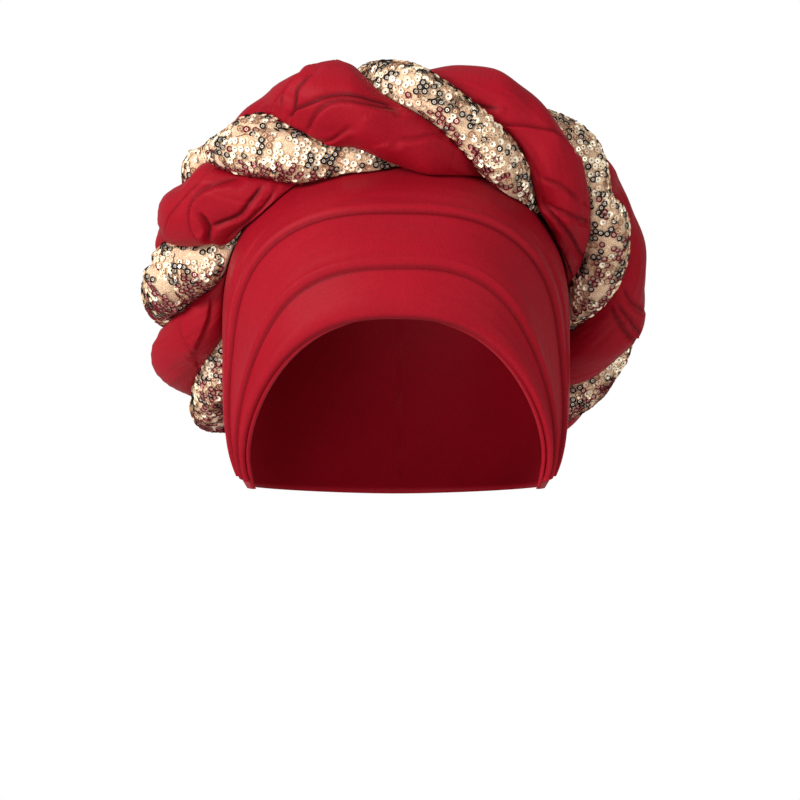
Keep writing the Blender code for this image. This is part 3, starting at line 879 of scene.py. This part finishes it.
# Turns and shares at equal steps over the strand's real surface
def sequinPlaces(strand):
    q = sequinSizes
    finePath = np.linspace(-q["edge"], q["edge"], 200)
    profile = strandPoints(strand, np.full_like(finePath, q["measureTurn"]), finePath, pressed=False)
    width = np.concatenate([[0], np.cumsum(np.linalg.norm(np.diff(profile, axis=0), axis=1))])
    rows = int(width[-1] / q["rowPitch"])
    shares = np.interp(np.linspace(0, width[-1], rows + 1), width, finePath)
    fineTurn = np.linspace(0, 2 * math.pi, 3000)
    turns, across = [], []
    for row, share in enumerate(shares):
        line = strandPoints(strand, fineTurn, np.full_like(fineTurn, share))
        length = np.concatenate([[0], np.cumsum(np.linalg.norm(np.diff(line, axis=0), axis=1))])
        count = int(length[-1] / q["pitch"])
        stops = (np.arange(count) + 0.5 * (row % 2)) * length[-1] / count
        turns.append(np.interp(stops, length, fineTurn))
        across.append(np.full(count, share))
    return np.concatenate(turns), np.concatenate(across)


# Places with bare net: half sizes in degrees of turn and in share
barePatches = (
    {"strand": "goldStrandA", "turn": 283, "share": 0.05, "turns": 1.8, "shares": 0.25},
    {"strand": "goldStrandA", "turn": 292, "share": -0.75, "turns": 2.5, "shares": 0.18},
    {"strand": "goldStrandB", "turn": 78, "share": 0.1, "turns": 2.5, "shares": 0.25},
    {"strand": "goldStrandB", "turn": 334, "share": -0.5, "turns": 1.6, "shares": 0.2},
)


# Places of the sequins that are sewn on, with the cloth's normal and the way along the strand
def sequinSpots(strand, chance):
    q = sequinSizes
    turn, share = sequinPlaces(strand)
    turn = turn + chance.normal(0, q["jitterAlong"], len(turn)) / strandCloth["ringReach"]
    share = share + chance.normal(0, q["jitterAcross"], len(turn))
    step = 0.004
    spot = strandPoints(strand, turn, share, strandLift(strand, turn, share))
    ahead = strandPoints(strand, turn + step, share, strandLift(strand, turn + step, share)) - spot
    aside = strandPoints(strand, turn, share + step, strandLift(strand, turn, share + step)) - spot
    normal = unit(np.cross(ahead, aside))
    centre, _, _ = ringFrame(turn)
    normal = normal * np.sign(np.sum(normal * (spot - centre), axis=-1, keepdims=True))
    # None where the strand is pressed on the cap, fewer where it narrows, and some are missing
    head = np.zeros_like(spot)
    head[:, 2] = np.minimum(spot[:, 2], -headForm["crownRise"])
    clear = np.linalg.norm(spot - head, axis=-1) * (1 - 1 / headGauge(spot, bandTop + ringSizes["fit"]))
    keep = (clear > q["clear"]) | (np.sum(normal * unit(spot - head), axis=-1) > q["facing"])
    room = np.minimum(strandSpan(strand, turn)[1] / strandHalf(strand) / q["crowded"], 1)
    keep = keep & (chance.random(len(turn)) > 1 - room * (1 - q["missing"]))
    for patch in barePatches:
        if patch["strand"] == strand["name"]:
            away = (np.degrees(turn) - patch["turn"] + 180) % 360 - 180
            keep = keep & (np.hypot(away / patch["turns"], (share - patch["share"]) / patch["shares"]) > 1)
    return spot[keep], normal[keep], ahead[keep]


def cloudAt(places, shift=(0, 0, 0), scale=1.0):
    return np.array([noise.noise(Vector(p) * scale + Vector(shift)) for p in places])


def sequinShine(places, normal, chance):
    s = shineShares
    count = len(places)
    shine = s["middle"] + s["cluster"] * cloudAt(places, (3, 8, 5), s["clusterScale"])
    # Painted reflection: sequins facing up are pushed toward the later, darker looks
    shine = shine + s["top"] * smoothStep(0.3, 0.9, normal[:, 2])
    shine = np.clip(shine + chance.normal(0, s["own"], count), 0, 1)
    # Painted reflection of the red cloth: sequins facing down more often get the dark red look
    red = smoothStep(0.1, 0.8, -normal[:, 2]) * s["redReflectionShare"]
    return np.where(chance.random(count) < red, chance.uniform(*s["red"], count), shine * s["others"])


def makeSequins(strand):
    q = sequinSizes
    chance = np.random.default_rng(q["seed"] + strand["quarter"] % 4)
    spot, normal, ahead = sequinSpots(strand, chance)
    count = len(spot)
    first = unit(ahead - normal * np.sum(ahead * normal, axis=-1, keepdims=True))
    second = np.cross(normal, first)
    # Neighbours lean together, and each has a lean of its own
    places = spot / q["patch"]
    leanA = cloudAt(places) + chance.normal(0, q["ownTilt"], count)
    leanB = cloudAt(places, (9, 4, 2)) + chance.normal(0, q["ownTilt"], count)
    facing = unit(normal + q["tilt"] * (leanA[:, None] * first + leanB[:, None] * second))
    axisA = unit(first - facing * np.sum(first * facing, axis=-1, keepdims=True))
    axisB = np.cross(facing, axisA)
    shape, faces, rimShare = sequinShape()
    local = shape[None] * chance.uniform(*q["sizes"], count)[:, None, None]
    points = (spot + normal * q["stand"])[:, None] + local[..., 0:1] * axisA[:, None]
    points = points + local[..., 1:2] * axisB[:, None] + local[..., 2:3] * facing[:, None]
    allFaces = (faces[None] + np.arange(count)[:, None, None] * len(shape)).reshape(-1, 4)
    piece = meshPiece(strand["name"] + "Sequins", points.reshape(-1, 3), allFaces.tolist())
    pointValues(piece, "shine", np.repeat(sequinShine(places, normal, chance), len(shape)))
    pointValues(piece, "rim", np.tile(rimShare, count))
    piece.data.shade_flat()
    print(piece.name, count, "sequins")
    return piece


# Camera, lights and floor
studio = {
    "cameraDistance": 1.7, "cameraX": 1.8 * mm, "cameraHeight": -107 * mm, "frameWidth": 368 * mm, "sensor": 36,
    "floorDrop": 1.3, "floorSize": 16.0, "floor": {"Base Color": (0.86, 0.86, 0.86, 1), "Roughness": 0.8},
    "daylight": 0.5, "backdrop": 1.0, "aim": (0, 0, -0.05),
}
lamps = (
    {"name": "keyLamp", "place": (-1.3, -1.15, 0.5), "size": 0.5, "power": 36},
    {"name": "lowLamp", "place": (-0.6, -1.4, -0.7), "size": 0.7, "power": 9},
    {"name": "fillLamp", "place": (1.2, -1.3, 0.25), "size": 0.8, "power": 9},
    {"name": "topLamp", "place": (-0.2, -0.1, 1.4), "size": 0.6, "power": 3},
)


def makeCamera():
    s = studio
    cameraData = bpy.data.cameras.new("studioCamera")
    cameraData.sensor_width = s["sensor"]
    cameraData.lens = s["sensor"] * s["cameraDistance"] / s["frameWidth"]
    camera = bpy.data.objects.new("studioCamera", cameraData)
    bpy.context.scene.collection.objects.link(camera)
    camera.location = (s["cameraX"], -s["cameraDistance"], s["cameraHeight"])
    camera.rotation_euler = (math.pi / 2, 0, 0)
    bpy.context.scene.camera = camera


def makeFloor():
    bpy.ops.mesh.primitive_plane_add(size=studio["floorSize"], location=(0, 0, -studio["floorDrop"]))
    floor = bpy.context.active_object
    floor.name = "studioFloor"
    paint, _, _ = startMaterial("palePaint", studio["floor"])
    floor.data.materials.append(paint)


# White daylight, with a brighter white where the camera looks past the part
def makeWorld():
    world = bpy.data.worlds.new("studioWorld")
    world.use_nodes = True
    tree = world.node_tree
    back = tree.nodes["Background"]
    bright = addNode(tree, "Background")
    for light, strength in ((back, studio["daylight"]), (bright, studio["backdrop"])):
        light.inputs["Color"].default_value = (1, 1, 1, 1)
        light.inputs["Strength"].default_value = strength
    seen = addNode(tree, "LightPath")
    pick = addNode(tree, "MixShader")
    tree.links.new(seen.outputs["Is Camera Ray"], pick.inputs[0])
    tree.links.new(back.outputs[0], pick.inputs[1])
    tree.links.new(bright.outputs[0], pick.inputs[2])
    tree.links.new(pick.outputs[0], tree.nodes["World Output"].inputs[0])
    bpy.context.scene.world = world
    bpy.context.scene.view_settings.view_transform = "Standard"


def makeLamps():
    for lamp in lamps:
        light = bpy.data.lights.new(lamp["name"], "AREA")
        light.size = lamp["size"]
        light.energy = lamp["power"]
        holder = bpy.data.objects.new(lamp["name"], light)
        bpy.context.scene.collection.objects.link(holder)
        place = Vector(lamp["place"])
        holder.location = place
        holder.rotation_euler = (Vector(studio["aim"]) - place).to_track_quat("-Z", "Y").to_euler()


makeCamera()
makeFloor()
makeWorld()
makeLamps()
print("studio ready")

capKnit = redKnit("redKnitCap")
paddedKnit = redKnit("redKnitPadded")

cap = makeCap()
addPiece(cap, "cap", capKnit)
print("cap made")

pleats = makePleats()
addPiece(pleats, "pleated_front", capKnit)
print("pleats made")

net = beigeNet("beigeNet")
foil = sequinFoil("sequinFoil")
for strand in strandRows:
    piece = makeStrand(strand)
    gold = strand["kind"] == "gold"
    addPiece(piece, strand["node"], net if gold else paddedKnit)
    if gold:
        addPiece(makeSequins(strand), None, foil)
    print(strand["name"], "made")
